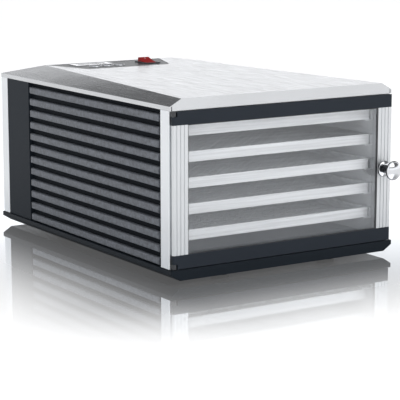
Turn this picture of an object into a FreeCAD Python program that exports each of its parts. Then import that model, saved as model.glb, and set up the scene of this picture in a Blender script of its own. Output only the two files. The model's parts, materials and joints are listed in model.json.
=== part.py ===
import FreeCAD, Part
import math
import os
from types import SimpleNamespace

import Sketcher

# Cabinet food dehydrator. Millimetres, +X right, +Y to the rear, +Z up.
# The row's origin is the centre of the bounding box at the level that the feet stand on.
# Every sub-part is drawn from the body's front plane (the front faces of the front posts, Y = 0)
# and its Placement carries it back by front_plane.

DIMENSIONS = [
    ("body_width", 345, "across the corner posts"),
    ("body_depth", 460, "front face of the front posts to the rear face of the rear posts"),
    ("front_plane", -215.25, "body front plane from the centre of the bounding box"),
    ("foot_height", 5, "rubber foot"),
    ("foot_radius", 12, "rubber foot"),
    ("foot_spacing", 168, "between left and right feet"),
    ("foot_front", 20, "centre of the front feet behind the front plane"),
    ("foot_rear", 440, "centre of the rear feet behind the front plane"),
    ("base_width", 348, "base pan"),
    ("base_height", 14, "base pan"),
    ("base_edge", 6, "upright side of the base pan"),
    ("base_cut", 13, "width of the slope under the side of the base pan"),
    ("base_nose", 7.5, "base pan ahead of the front plane"),
    ("base_tail", 1.5, "base pan behind the rear posts"),
    ("frame_height", 197.5, "corner posts"),
    ("post_width", 14, "corner post, left to right"),
    ("post_front", 20, "front corner post, front to back"),
    ("post_rear", 18, "rear corner post, front to back"),
    ("post_wall", 1.6, "corner post"),
    ("flange_height", 5.5, "upright edge of the steel cover"),
    ("roof_rise", 9, "slopes of the steel cover"),
    ("roof_inset_front", 16.5, "side slope at the front"),
    ("roof_inset_rear", 64, "side slope at the rear"),
    ("roof_run_rear", 14, "rear slope"),
    ("roof_nose", 3, "steel cover ahead of the front plane"),
    ("steel", 1.2, "thickness of the steel cover"),
    ("panel_wall", 2.5, "side panels"),
    ("panel_recess", 1, "flat part of a side panel inside the posts' outer faces"),
    ("louvre_recess", 5.5, "louvred part of a side panel inside the posts' outer faces"),
    ("cheek", 66, "length of the flat rear part of a side panel"),
    ("rib_count", 12, "ribs on a side panel"),
    ("rib_pitch", 16.4, "ribs on a side panel"),
    ("rib_height", 9.6, "rib"),
    ("rib_first", 20, "underside of the lowest rib above the ground"),
    ("rib_rise", 4.5, "rib"),
    ("rib_round", 2.2, "rounded crest of a rib"),
    ("liner", 1.5, "chamber sheets"),
    ("chamber_floor", 21, "inner floor of the drying chamber above the ground"),
    ("chamber_roof", 205, "underside of the chamber's ceiling above the ground"),
    ("chamber_rear", 372, "front face of the air baffle"),
    ("tray_count", 5, "racks"),
    ("tray_pitch", 33, "racks"),
    ("tray_first", 49.75, "underside of the lowest rack above the ground"),
    ("tray_width", 298, "rack"),
    ("tray_depth", 338, "rack"),
    ("tray_height", 13.5, "rack rim"),
    ("tray_wall", 2, "rack rim"),
    ("tray_front", 13, "rack front behind the front plane"),
    ("tray_grid", 12.4, "pitch of the rack's cross bars"),
    ("grid_thick", 2, "rack floor"),
    ("runner_reach", 14, "ledge under the racks"),
    ("runner_guide", 4.5, "guide beside the racks"),
    ("door_width", 341, "door"),
    ("door_thick", 6, "door frame"),
    ("door_gap", 0.5, "between the door and the front plane"),
    ("door_foot", 19.8, "underside of the door above the ground"),
    ("door_height", 195.9, "door"),
    ("rail_low", 17.3, "bottom rail"),
    ("rail_top", 16.7, "top rail"),
    ("stile", 22, "stiles"),
    ("pane_thick", 4, "pane"),
    ("pane_bite", 5, "pane inside the grooves of the frame"),
    ("hinge_inset", 3, "hinge axis inside the door's left edge"),
    ("pin_radius", 1.5, "hinge pin"),
    ("running_gap", 0.05, "radial clearance of pins and shafts"),
    ("knob_radius", 12.75, "knob head"),
    ("knob_reach", 24.5, "knob ahead of the door's face"),
    ("knob_level", 117, "knob axis above the ground"),
    ("fan_level", 113, "fan axis above the ground"),
    ("fan_radius", 73, "impeller"),
    ("shroud_place", 412, "front face of the fan shroud"),
    ("console_front", 361, "front edge of the console"),
    ("console_rear", 444, "rear edge of the console"),
    ("console_left_front", -82.5, "front left corner from the centre plane"),
    ("console_right_front", 53.5, "front right corner from the centre plane"),
    ("console_left_rear", -107, "rear left corner from the centre plane"),
    ("console_right_rear", 85, "rear right corner from the centre plane"),
    ("button_radius", 6.4, "round push button"),
    ("switch_middle", 39.5, "rocker switch from the centre plane"),
    ("switch_place", 402, "rocker switch behind the front plane"),
]


class Dim:
    """A size with its number and the sheet expression that it comes from."""

    def __init__(self, text, number):
        self.text = text
        self.number = float(number)

    def mix(self, sign, other, swap=False):
        other = dim(other)
        left, right = (other, self) if swap else (self, other)
        results = {
            "+": left.number + right.number,
            "-": left.number - right.number,
            "*": left.number * right.number,
        }
        number = left.number / right.number if sign == "/" else results[sign]
        return Dim(f"({left.text} {sign} {right.text})", number)

    def __add__(self, other):
        return self.mix("+", other)

    def __radd__(self, other):
        return self.mix("+", other, swap=True)

    def __sub__(self, other):
        return self.mix("-", other)

    def __rsub__(self, other):
        return self.mix("-", other, swap=True)

    def __mul__(self, other):
        return self.mix("*", other)

    def __rmul__(self, other):
        return self.mix("*", other, swap=True)

    def __truediv__(self, other):
        return self.mix("/", other)

    def __neg__(self):
        return self.mix("*", -1)


def dim(value):
    return value if isinstance(value, Dim) else Dim(f"({float(value)})", value)


def dimension_sheet(doc):
    """The driving dimensions, one row each: meaning, value with its alias."""
    sheet = doc.addObject("Spreadsheet::Sheet", "dims")
    for row, (alias, value, meaning) in enumerate(DIMENSIONS, start=1):
        sheet.set(f"A{row}", meaning)
        sheet.set(f"B{row}", str(value))
        sheet.setAlias(f"B{row}", alias)
    doc.recompute()
    return SimpleNamespace(**{alias: Dim(f"dims.{alias}", value) for alias, value, _ in DIMENSIONS})


doc = FreeCAD.newDocument("food_dehydrator")
D = dimension_sheet(doc)
SUB_PARTS = []
PLACES = {}

HALF = D.body_width / 2
BASE_TOP = D.foot_height + D.base_height
FRAME_TOP = BASE_TOP + D.frame_height
FLANGE_TOP = FRAME_TOP + D.flange_height
ROOF_TOP = FLANGE_TOP + D.roof_rise
LINER_HALF = HALF - D.post_width
CHAMBER_HALF = LINER_HALF - D.liner
DOOR_REAR = -D.door_gap
DOOR_FRONT = DOOR_REAR - D.door_thick
DOOR_HALF = D.door_width / 2
DOOR_TOP = D.door_foot + D.door_height
HINGE_X = D.hinge_inset - DOOR_HALF
HINGE_Y = DOOR_REAR - D.hinge_inset
PANE_REAR = DOOR_REAR - (D.door_thick - D.pane_thick) / 2
PANE_FRONT = PANE_REAR - D.pane_thick
PANE_HALF = DOOR_HALF - D.stile + D.pane_bite
PANE_FOOT = D.door_foot + D.rail_low - D.pane_bite
PANE_HEAD = DOOR_TOP - D.rail_top + D.pane_bite
SIDES = (("left", -1), ("right", 1))
BUTTONS = (("minus", -54), ("plus", -34), ("start", -14))
BUTTON_PLACE = D.console_front + 33
DISPLAY_X = (-68, -22)
DISPLAY_Y = (D.console_front + 54, D.console_front + 68)
REAR_SCREWS = [(x, z) for x in (-150, 150) for z in (32, 113, 194)]
COVER_SCREWS = (-120, 0, 120)
BOARD_TOP = Dim("(216)", 216)
HEATER_RING = 88.0
HEATER_TUBE = 3.25
HEATER_GAP = 20.0
HEATER_LEAD = HEATER_RING * math.sin(math.radians(HEATER_GAP / 2))
HEATER_LEAD_LEVEL = D.fan_level - HEATER_RING * math.cos(math.radians(HEATER_GAP / 2))
FAN_BLADES = 7
BLADE_TWIST = 33
KNUCKLE = 6.0
KNUCKLE_GAP = 0.3


# ---------------------------------------------------------------- drawing helpers


def bind(thing, target, size):
    thing.setExpression(target, dim(size).text)


def put(thing, x=0, y=0, z=0):
    """Binds the place of an object, keeping its rotation."""
    PLACES[thing.Name] = (x, y, z)
    for axis, size in zip("xyz", (x, y, z)):
        bind(thing, f".Placement.Base.{axis}", size)


def finish(name, thing, x=0, y=0, z=0):
    """Names a finished sub-part and carries it from the front plane to the row's frame."""
    thing.Label = name
    own_x, own_y, own_z = PLACES.get(thing.Name, (0, 0, 0))
    put(thing, own_x + dim(x), D.front_plane + own_y + y, own_z + dim(z))
    SUB_PARTS.append(thing)
    return thing


def block(name, xs, ys, zs):
    box = doc.addObject("Part::Box", name)
    for target, (low, high) in (("Length", xs), ("Width", ys), ("Height", zs)):
        bind(box, target, dim(high) - low)
    put(box, xs[0], ys[0], zs[0])
    return box


AXES = {
    "x": FreeCAD.Rotation(FreeCAD.Vector(0, 1, 0), 90),
    "y": FreeCAD.Rotation(FreeCAD.Vector(1, 0, 0), -90),
    "z": FreeCAD.Rotation(),
}


def rod(name, radius, length, x, y, z, axis="z"):
    """A cylinder that starts at a point and runs along +axis."""
    cylinder = doc.addObject("Part::Cylinder", name)
    bind(cylinder, "Radius", radius)
    bind(cylinder, "Height", length)
    cylinder.Placement.Rotation = AXES[axis]
    put(cylinder, x, y, z)
    return cylinder


def join(name, pieces):
    fused = doc.addObject("Part::MultiFuse", name)
    fused.Shapes = pieces
    fused.Refine = True
    return fused


def collect(name, pieces):
    """Identical pieces kept as separate solids of one sub-part."""
    group = doc.addObject("Part::Compound", name)
    group.Links = pieces
    return group


def cut(name, stock, tools):
    result = doc.addObject("Part::Cut", name)
    result.Base = stock
    result.Tool = tools[0] if len(tools) == 1 else join(f"{name}_tools", tools)
    result.Refine = True
    return result


def new_body(name):
    return doc.addObject("PartDesign::Body", f"{name}_body")


def sketch_on(body, plane, offset=0):
    """A sketch on one of the body's origin planes, offset along its +X, +Y or +Z."""
    sketch = body.newObject("Sketcher::SketchObject", f"{body.Name}_sketch")
    origin = next(item for item in body.Origin.OriginFeatures if item.Role == f"{plane}_Plane")
    sketch.AttachmentSupport = (origin, [""])
    sketch.MapMode = "FlatFace"
    bind(sketch, "AttachmentOffset.Base.z", -dim(offset) if plane == "XZ" else offset)
    return sketch


def outline(sketch, points):
    """A closed outline whose corners are bound to the sheet."""
    corners = [(dim(u), dim(v)) for u, v in points]
    first = sketch.GeometryCount
    count = len(corners)
    for index, (u, v) in enumerate(corners):
        next_u, next_v = corners[(index + 1) % count]
        start = FreeCAD.Vector(u.number, v.number, 0)
        end = FreeCAD.Vector(next_u.number, next_v.number, 0)
        sketch.addGeometry(Part.LineSegment(start, end), False)
    for index in range(count):
        line, following = first + index, first + (index + 1) % count
        sketch.addConstraint(Sketcher.Constraint("Coincident", line, 2, following, 1))
    for index, corner in enumerate(corners):
        for kind, axis, size in (("DistanceX", -2, corner[0]), ("DistanceY", -1, corner[1])):
            line = first + index
            if abs(size.number) < 1e-9:
                sketch.addConstraint(Sketcher.Constraint("PointOnObject", line, 1, axis))
                continue
            place = sketch.addConstraint(Sketcher.Constraint(kind, -1, 1, line, 1, size.number))
            bind(sketch, f"Constraints[{place}]", size)


def circle(sketch, u, v, radius):
    u, v, radius = dim(u), dim(v), dim(radius)
    centre = FreeCAD.Vector(u.number, v.number, 0)
    ring = sketch.addGeometry(Part.Circle(centre, FreeCAD.Vector(0, 0, 1), radius.number), False)
    place = sketch.addConstraint(Sketcher.Constraint("Radius", ring, radius.number))
    bind(sketch, f"Constraints[{place}]", radius)
    for kind, axis, size in (("DistanceX", -2, u), ("DistanceY", -1, v)):
        if abs(size.number) < 1e-9:
            sketch.addConstraint(Sketcher.Constraint("PointOnObject", ring, 3, axis))
            continue
        place = sketch.addConstraint(Sketcher.Constraint(kind, -1, 1, ring, 3, size.number))
        bind(sketch, f"Constraints[{place}]", size)


def rectangle(sketch, us, vs):
    outline(sketch, [(us[0], vs[0]), (us[1], vs[0]), (us[1], vs[1]), (us[0], vs[1])])


def pad(body, sketch, length, forward=True):
    """Adds material along +X, +Y or +Z from the sketch, or the other way."""
    feature = body.newObject("PartDesign::Pad", f"{body.Name}_pad")
    feature.Profile = sketch
    bind(feature, "Length", length)
    along_normal = sketch.AttachmentSupport[0][0].Role != "XZ_Plane"
    feature.Reversed = forward != along_normal
    return feature


def pocket(body, sketch, length, forward=True):
    """Removes material along +X, +Y or +Z from the sketch, or the other way."""
    doc.recompute()
    before = body.Shape.Volume
    feature = body.newObject("PartDesign::Pocket", f"{body.Name}_pocket")
    feature.Profile = sketch
    bind(feature, "Length", length)
    along_normal = sketch.AttachmentSupport[0][0].Role != "XZ_Plane"
    feature.Reversed = forward == along_normal
    doc.recompute()
    if body.Shape.Volume > before - 1e-6:
        raise RuntimeError(f"{body.Name}: a pocket cuts nothing")
    return feature


def repeat(body, feature, sketch, axis, count, pitch):
    """Repeats one feature along the sketch's H_Axis or V_Axis."""
    pattern = body.newObject("PartDesign::LinearPattern", f"{body.Name}_pattern")
    pattern.Originals = [feature]
    pattern.Direction = (sketch, [axis])
    bind(pattern, "Length", (dim(count) - 1) * pitch)
    bind(pattern, "Occurrences", count)
    body.Tip = pattern
    return pattern


def round_edges(body, radius, wanted):
    """Fillets the tip's edges that the test picks."""
    doc.recompute()
    tip = body.Tip
    names = [f"Edge{i}" for i, edge in enumerate(tip.Shape.Edges, start=1) if wanted(edge)]
    fillet = body.newObject("PartDesign::Fillet", f"{body.Name}_fillet")
    fillet.Base = (tip, names)
    bind(fillet, "Radius", radius)
    body.Tip = fillet
    return fillet


def upright(edge):
    box = edge.BoundBox
    return box.ZLength > 0.5 and box.XLength < 1e-4 and box.YLength < 1e-4


# ---------------------------------------------------------------- base and frame


def base_pan():
    body = new_body("base_pan")
    half = D.base_width / 2
    edge = BASE_TOP - D.base_edge
    profile = sketch_on(body, "XZ", -D.base_nose)
    outline(profile, [
        (-half, BASE_TOP), (-half, edge), (D.base_cut - half, D.foot_height),
        (half - D.base_cut, D.foot_height), (half, edge), (half, BASE_TOP),
    ])
    pad(body, profile, D.base_nose + D.body_depth + D.base_tail)
    well = sketch_on(body, "XY", BASE_TOP)
    rectangle(well, (-LINER_HALF + 2.5, LINER_HALF - 2.5), (4, D.body_depth - 8))
    pocket(body, well, D.base_height - 3, forward=False)
    top = BASE_TOP.number
    round_edges(body, 0.8, lambda e: e.BoundBox.ZMin > top - 1e-4 and is_outer(e, half.number))
    finish("base_pan", body)


def is_outer(edge, half):
    box = edge.BoundBox
    front = box.YMax < -D.base_nose.number + 1e-3
    return front or box.XMax < -half + 1e-3 or box.XMin > half - 1e-3


def feet():
    pads = []
    for side, sign in SIDES:
        for end, place in (("front", D.foot_front), ("rear", D.foot_rear)):
            foot = doc.addObject("Part::Cone", f"foot_{end}_{side}_pad")
            bind(foot, "Radius1", D.foot_radius - 1)
            bind(foot, "Radius2", D.foot_radius)
            bind(foot, "Height", D.foot_height)
            put(foot, sign * D.foot_spacing / 2, place, 0)
            recess = rod(f"foot_{end}_{side}_recess", 3.5, 2.5, sign * D.foot_spacing / 2, place, 0)
            pads.append(cut(f"foot_{end}_{side}_rubber", foot, [recess]))
    finish("rubber_feet", collect("rubber_feet", pads))


def corner_post(end, side, sign):
    body = new_body(f"post_{end}_{side}")
    deep = D.post_front if end == "front" else D.post_rear
    section = sketch_on(body, "XY")
    rectangle(section, (0, D.post_width), (0, deep))
    pad(body, section, D.frame_height)
    round_edges(body, 1.2, upright)
    hollow = sketch_on(body, "XY")
    wall = D.post_wall
    rectangle(hollow, (wall, D.post_width - wall), (wall, deep - wall))
    pocket(body, hollow, D.frame_height)
    x = HALF - D.post_width if sign > 0 else -HALF
    y = 0 if end == "front" else D.body_depth - deep
    finish(f"post_{end}_{side}", body, x, y, BASE_TOP)


def side_panel(side, sign):
    body = new_body(f"side_panel_{side}")
    outer = sign * (HALF - D.panel_recess)
    sunk = sign * (HALF - D.louvre_recess)
    wall = sign * D.panel_wall
    front = D.post_front + 0.3
    step = D.body_depth - D.post_rear - D.cheek
    rear = D.body_depth - D.post_rear - 0.3
    section = sketch_on(body, "XY", BASE_TOP)
    outline(section, [
        (sunk, front), (sunk, step), (outer, step), (outer, rear), (outer - wall, rear),
        (outer - wall, step + D.panel_wall), (sunk - wall, step + D.panel_wall), (sunk - wall, front),
    ])
    pad(body, section, D.frame_height)
    rib = sketch_on(body, "YZ", sunk)
    nose, tail = D.post_front + 6, step - 2
    rectangle(rib, (nose, tail), (D.rib_first, D.rib_first + D.rib_height))
    rib_pad = pad(body, rib, D.rib_rise, forward=sign > 0)
    repeat(body, rib_pad, rib, "V_Axis", D.rib_count, D.rib_pitch)
    crest = (sunk + sign * D.rib_rise).number
    round_edges(body, D.rib_round, lambda e: on_rib(e, crest, tail.number))
    finish(f"side_panel_{side}", body)


def on_rib(edge, crest, tail):
    box = edge.BoundBox
    flat = abs(box.XMin - crest) < 1e-3 and abs(box.XMax - crest) < 1e-3
    return flat and box.YMax < tail + 1e-3


def rear_cover():
    body = new_body("rear_cover")
    middle = D.fan_level
    sheet = sketch_on(body, "XZ", D.body_depth - 3)
    rectangle(sheet, (0.5 - LINER_HALF, LINER_HALF - 0.5), (BASE_TOP + 0.3, FRAME_TOP - 0.3))
    pad(body, sheet, 3)
    slot = sketch_on(body, "XZ", D.body_depth - 3)
    for low, high in ((-51, -4), (4, 51)):
        rectangle(slot, (low, high), (middle - 52.5, middle - 47.5))
    slots = pocket(body, slot, 3)
    repeat(body, slots, slot, "V_Axis", 10, 11.1)
    doc.recompute()
    inlet = sketch_on(body, "XZ", D.body_depth - 3)
    rectangle(inlet, (-124, -96), (39.5, 60.5))
    pocket(body, inlet, 3)
    tabs = sketch_on(body, "XZ", D.body_depth - 3)
    for x in COVER_SCREWS:
        rectangle(tabs, (x - 9, x + 9), (FRAME_TOP - 2, FRAME_TOP + 4.2))
    pad(body, tabs, 1.6)
    doc.recompute()
    threads = sketch_on(body, "XZ", D.body_depth - 3)
    for x in COVER_SCREWS:
        circle(threads, x, FRAME_TOP + D.flange_height / 2, 1.5)
    pocket(body, threads, 1.6)
    holes = sketch_on(body, "XZ", D.body_depth - 3)
    for x, z in REAR_SCREWS:
        circle(holes, x, z, 1.6)
    pocket(body, holes, 3)
    finish("rear_cover", body)


def screw(name, x, y, z, length, radius):
    """A pan-head screw whose head stands on the face at y and whose shank runs forward."""
    head = rod(f"{name}_head", radius, 1.3, x, y, z, "y")
    shank = rod(f"{name}_shank", 1.5, length, x, dim(y) - length, z, "y")
    slot = block(f"{name}_slot", (dim(x) - 2, dim(x) + 2), (dim(y) + 0.6, dim(y) + 1.4),
                 (dim(z) - 0.45, dim(z) + 0.45))
    return cut(f"{name}_screw", join(f"{name}_blank", [head, shank]), [slot])


def screws():
    rear = [screw(f"rear{n}", x, D.body_depth, z, 8, 3.2) for n, (x, z) in enumerate(REAR_SCREWS)]
    finish("rear_cover_screws", collect("rear_cover_screws", rear))
    level = FRAME_TOP + D.flange_height / 2
    top = [screw(f"top{n}", x, D.body_depth, level, 6, 2.6) for n, x in enumerate(COVER_SCREWS)]
    finish("top_cover_screws", collect("top_cover_screws", top))


# ---------------------------------------------------------------- steel cover and console


def console_outline(grow=0.0, tail=0.0):
    """The console's trapezoid, larger by grow, but only by tail at the rear and its left corner."""
    front, rear = D.console_front - grow, D.console_rear + tail
    return [
        (D.console_left_front - grow, front), (D.console_right_front + grow, front),
        (D.console_right_rear + grow, rear), (D.console_left_rear - tail, rear),
    ]


def roof_outline(shrink=0.0):
    near = HALF - D.roof_inset_front - shrink
    far = HALF - D.roof_inset_rear - shrink
    front, rear = shrink - D.roof_nose, D.body_depth - D.roof_run_rear - shrink
    return [(-near, front), (near, front), (far, rear), (-far, rear)]


def top_cover():
    body = new_body("top_cover")
    rim = sketch_on(body, "XY", FRAME_TOP)
    rectangle(rim, (-HALF, HALF), (-D.roof_nose, D.body_depth))
    pad(body, rim, D.flange_height)
    eaves = sketch_on(body, "XY", FLANGE_TOP)
    rectangle(eaves, (-HALF, HALF), (-D.roof_nose, D.body_depth))
    ridge = sketch_on(body, "XY", ROOF_TOP)
    outline(ridge, roof_outline())
    slopes = body.newObject("PartDesign::AdditiveLoft", "top_cover_slopes")
    slopes.Profile = eaves
    slopes.Sections = [ridge]
    slopes.Ruled = True
    doc.recompute()
    steel = D.steel
    inside = sketch_on(body, "XY", FRAME_TOP)
    inner = HALF - steel
    rectangle(inside, (-inner, inner), (steel - D.roof_nose, D.body_depth - steel))
    pocket(body, inside, D.flange_height - steel)
    inner_eaves = sketch_on(body, "XY", FLANGE_TOP - steel)
    rectangle(inner_eaves, (-inner, inner), (steel - D.roof_nose, D.body_depth - steel))
    inner_ridge = sketch_on(body, "XY", ROOF_TOP - steel)
    outline(inner_ridge, roof_outline(1.2))
    hollow = body.newObject("PartDesign::SubtractiveLoft", "top_cover_hollow")
    hollow.Profile = inner_eaves
    hollow.Sections = [inner_ridge]
    hollow.Ruled = True
    doc.recompute()
    window = sketch_on(body, "XY", ROOF_TOP)
    outline(window, console_outline())
    pocket(body, window, 3, forward=False)
    round_edges(body, 12, is_front_window_corner)
    notch = sketch_on(body, "XY", FRAME_TOP)
    for sign in (-1, 1):
        rectangle(notch, (sign * (HALF - 3.2), sign * (HALF - 2)), (-5, -1.5))
    pocket(body, notch, D.flange_height)
    holes = sketch_on(body, "XZ", D.body_depth - steel)
    for x in COVER_SCREWS:
        circle(holes, x, FRAME_TOP + D.flange_height / 2, 1.6)
    pocket(body, holes, steel)
    finish("top_cover", body)


def is_front_window_corner(edge):
    return upright(edge) and abs(edge.BoundBox.YMin - D.console_front.number) < 1e-3


def console():
    body = new_body("console")
    flange_top = ROOF_TOP - D.steel - 0.2
    face = ROOF_TOP - 0.4
    flange = sketch_on(body, "XY", flange_top - 2)
    outline(flange, console_outline(3.5, 0.2))
    pad(body, flange, 2)
    raised = sketch_on(body, "XY", flange_top)
    outline(raised, console_outline(-0.4, -0.4))
    pad(body, raised, face - flange_top)
    round_edges(body, 11.6, is_front_plinth_corner)
    holes = sketch_on(body, "XY", face)
    switch, place = D.switch_middle, D.switch_place
    rectangle(holes, (switch - 10.9, switch + 10.9), (place - 15.6, place + 15.6))
    rectangle(holes, DISPLAY_X, DISPLAY_Y)
    for _, x in BUTTONS:
        circle(holes, x, BUTTON_PLACE, D.button_radius + 0.2)
    pocket(body, holes, 5, forward=False)
    bosses = sketch_on(body, "XY", flange_top - 2)
    for x in (-80, 12):
        for y in (20, 74):
            circle(bosses, x, D.console_front + y, 3)
    pad(body, bosses, flange_top - 2 - BOARD_TOP, forward=False)
    finish("console", body)


def is_front_plinth_corner(edge):
    box = edge.BoundBox
    front = D.console_front.number + 0.4
    return upright(edge) and abs(box.YMin - front) < 1e-3


def control_board():
    top = BOARD_TOP
    front = D.console_front
    pieces = [block("board_sheet", (-86, 18), (front + 14, front + 80), (top - 1.6, top))]
    key = (BUTTON_PLACE - 3, BUTTON_PLACE + 3)
    for name, x in BUTTONS:
        pieces.append(block(f"board_key_{name}", (x - 3, x + 3), key, (top, top + 4)))
    left, right = DISPLAY_X
    pieces.append(block("board_display", (left + 2, right - 2), (front + 55, front + 67), (top, top + 10)))
    pieces.append(block("board_relay", (-8, 8), (front + 48, front + 68), (top, top + 8)))
    finish("control_board", join("control_board", pieces))


def display():
    face = ROOF_TOP - 0.4
    left, right = DISPLAY_X
    front, rear = DISPLAY_Y
    ring = block("bezel_blank", (left - 8, right + 8), (front - 4, rear + 4), (face, face + 0.9))
    hole = block("bezel_hole", DISPLAY_X, DISPLAY_Y, (face - 1, face + 2))
    finish("display_bezel", cut("display_bezel", ring, [hole]))
    glass = block("display_window", DISPLAY_X, DISPLAY_Y, (face - 2.2, face + 0.4))
    finish("display_window", glass)


def push_button(name, x):
    body = new_body(f"button_{name}")
    face = ROOF_TOP + 1
    profile = sketch_on(body, "XZ")
    radius = D.button_radius
    outline(profile, [
        (0, 221.3), (2, 221.3), (2, 226), (radius + 1.4, 226), (radius + 1.4, 227.5),
        (radius, 227.5), (radius, face - 0.8), (radius - 0.8, face), (0, face - 0.5),
    ])
    turn(body, profile)
    finish(f"button_{name}", body, x, BUTTON_PLACE, 0)


def turn(body, profile):
    feature = body.newObject("PartDesign::Revolution", f"{body.Name}_turned")
    feature.Profile = profile
    feature.ReferenceAxis = (profile, ["V_Axis"])
    feature.Angle = 360
    return feature


def rocker_switch():
    middle, place, face = D.switch_middle, D.switch_place, ROOF_TOP - 0.4
    pivot = face - 1.5
    frame = block("switch_frame_blank", (middle - 12, middle + 12), (place - 17, place + 17),
                  (face, face + 1.4))
    housing = block("switch_housing_blank", (middle - 10.8, middle + 10.8), (place - 15.5, place + 15.5),
                    (face - 19, face))
    hole = block("switch_hole", (middle - 9.7, middle + 9.7), (place - 14.6, place + 14.6),
                 (face - 9, face + 3))
    blank = join("switch_blank", [frame, housing])
    finish("switch_frame", cut("switch_frame", blank, [hole]))

    body = new_body("rocker")
    profile = sketch_on(body, "YZ", -9.3)
    outline(profile, [
        (-13.4, -1.8), (0, -6), (13.4, -1.8), (12.4, 8.8), (0, 4.4), (-13.2, 2),
    ])
    pad(body, profile, 18.6)
    round_edges(body, 0.8, lambda e: e.BoundBox.ZMax > 2 and e.BoundBox.XLength < 1e-3)
    finish("rocker", body, middle, place, pivot)


# ---------------------------------------------------------------- drying chamber


def chamber_wall(side, sign):
    body = new_body(f"chamber_wall_{side}")
    inner, outer = sign * CHAMBER_HALF, sign * LINER_HALF
    sheet = sketch_on(body, "XY", D.chamber_floor)
    rear = D.body_depth - 3.2
    lip = inner - sign * D.runner_reach
    outline(sheet, [(inner, 2), (outer, 2), (outer, rear), (lip, rear), (lip, rear - D.liner),
                    (inner, rear - D.liner)])
    pad(body, sheet, D.chamber_roof - D.chamber_floor)
    runner = sketch_on(body, "XZ", D.tray_front + 1)
    ledge_top = D.tray_first
    ledge = sign * (CHAMBER_HALF - D.runner_reach)
    guide = sign * (CHAMBER_HALF - D.runner_guide)
    outline(runner, [
        (inner, ledge_top - 2), (ledge, ledge_top - 2), (ledge, ledge_top), (guide, ledge_top),
        (guide, ledge_top + 12), (inner, ledge_top + 12),
    ])
    runner_pad = pad(body, runner, D.tray_depth)
    repeat(body, runner_pad, runner, "V_Axis", D.tray_count, D.tray_pitch)
    doc.recompute()
    threads = sketch_on(body, "XZ", rear - D.liner)
    for x, z in REAR_SCREWS:
        if x * sign > 0:
            circle(threads, x, z, 1.5)
    pocket(body, threads, D.liner)
    finish(f"chamber_wall_{side}", body)


def chamber_sheets():
    rear = D.body_depth - 3.2
    floor = block("chamber_floor", (-LINER_HALF, LINER_HALF), (2, rear), (BASE_TOP, D.chamber_floor))
    finish("chamber_floor", floor)
    body = new_body("chamber_ceiling")
    profile = sketch_on(body, "YZ", -LINER_HALF)
    low, high, sheet = D.chamber_roof, FRAME_TOP - 0.5, D.liner
    back = D.chamber_rear + sheet
    outline(profile, [(2, low), (back, low), (back, low + sheet), (2 + sheet, low + sheet),
                      (2 + sheet, high), (2, high)])
    pad(body, profile, 2 * LINER_HALF)
    finish("chamber_ceiling", body)


def air_baffle():
    body = new_body("air_baffle")
    sheet = sketch_on(body, "XZ", D.chamber_rear)
    rectangle(sheet, (-CHAMBER_HALF, CHAMBER_HALF), (D.chamber_floor, D.chamber_roof))
    pad(body, sheet, D.liner)
    slot = sketch_on(body, "XZ", D.chamber_rear)
    for low in (41, 91, 141):
        rectangle(slot, (-129, -121), (low, low + 44))
    slots = pocket(body, slot, D.liner)
    repeat(body, slots, slot, "H_Axis", 15, 17.86)
    doc.recompute()
    probe = sketch_on(body, "XZ", D.chamber_rear)
    circle(probe, 40, 194, 2.1)
    pocket(body, probe, D.liner)
    finish("air_baffle", body)


def tray_grid_source():
    """The barred floor shared by the racks, drawn once."""
    body = new_body("grid")
    half, deep, wall = D.tray_width / 2, D.tray_depth, D.tray_wall
    sheet = sketch_on(body, "XY")
    rectangle(sheet, (wall - half, half - wall), (wall, deep - wall))
    pad(body, sheet, D.grid_thick)
    opening = sketch_on(body, "XY")
    rectangle(opening, (-132, -92), (12, 21.4))
    opening_cut = pocket(body, opening, D.grid_thick)
    across = body.newObject("PartDesign::LinearPattern", "grid_across")
    across.Direction = (opening, ["H_Axis"])
    across.Length = 224
    across.Occurrences = 6
    along = body.newObject("PartDesign::LinearPattern", "grid_along")
    along.Direction = (opening, ["V_Axis"])
    bind(along, "Length", 25 * D.tray_grid)
    along.Occurrences = 26
    grid = body.newObject("PartDesign::MultiTransform", "grid_openings")
    grid.Originals = [opening_cut]
    grid.Transformations = [across, along]
    body.Tip = grid
    return body


def tray(number, grid):
    """A rack: a moulded rim round a barred floor, open to the air above and below."""
    body = new_body(f"tray_{number}")
    half, deep, wall = D.tray_width / 2, D.tray_depth, D.tray_wall
    level = D.tray_first + (D.tray_count - number) * D.tray_pitch
    rim = sketch_on(body, "XY")
    rectangle(rim, (-half, half), (0, deep))
    pad(body, rim, D.tray_height)
    well = sketch_on(body, "XY")
    rectangle(well, (wall - half, half - wall), (wall, deep - wall))
    pocket(body, well, D.tray_height)
    round_edges(body, 1, lambda e: upright(e) and is_tray_corner(e))
    finish(f"tray_{number}", body, 0, D.tray_front, level)
    finish(f"tray_grid_{number}", collect(f"tray_grid_{number}", [grid]), 0, D.tray_front, level)


def is_tray_corner(edge):
    box = edge.BoundBox
    return abs(box.XMin) > D.tray_width.number / 2 - 0.01


def crumb_tray():
    half = D.tray_width / 2
    pan = block("crumb_pan_blank", (-half, half), (0, D.tray_depth), (0, 8))
    well = block("crumb_pan_well", (1.5 - half, half - 1.5), (1.5, D.tray_depth - 1.5), (1.5, 9))
    finish("crumb_tray", cut("crumb_tray", pan, [well]), 0, D.tray_front, D.chamber_floor + 0.5)


# ---------------------------------------------------------------- fan, heater, supply


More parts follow.
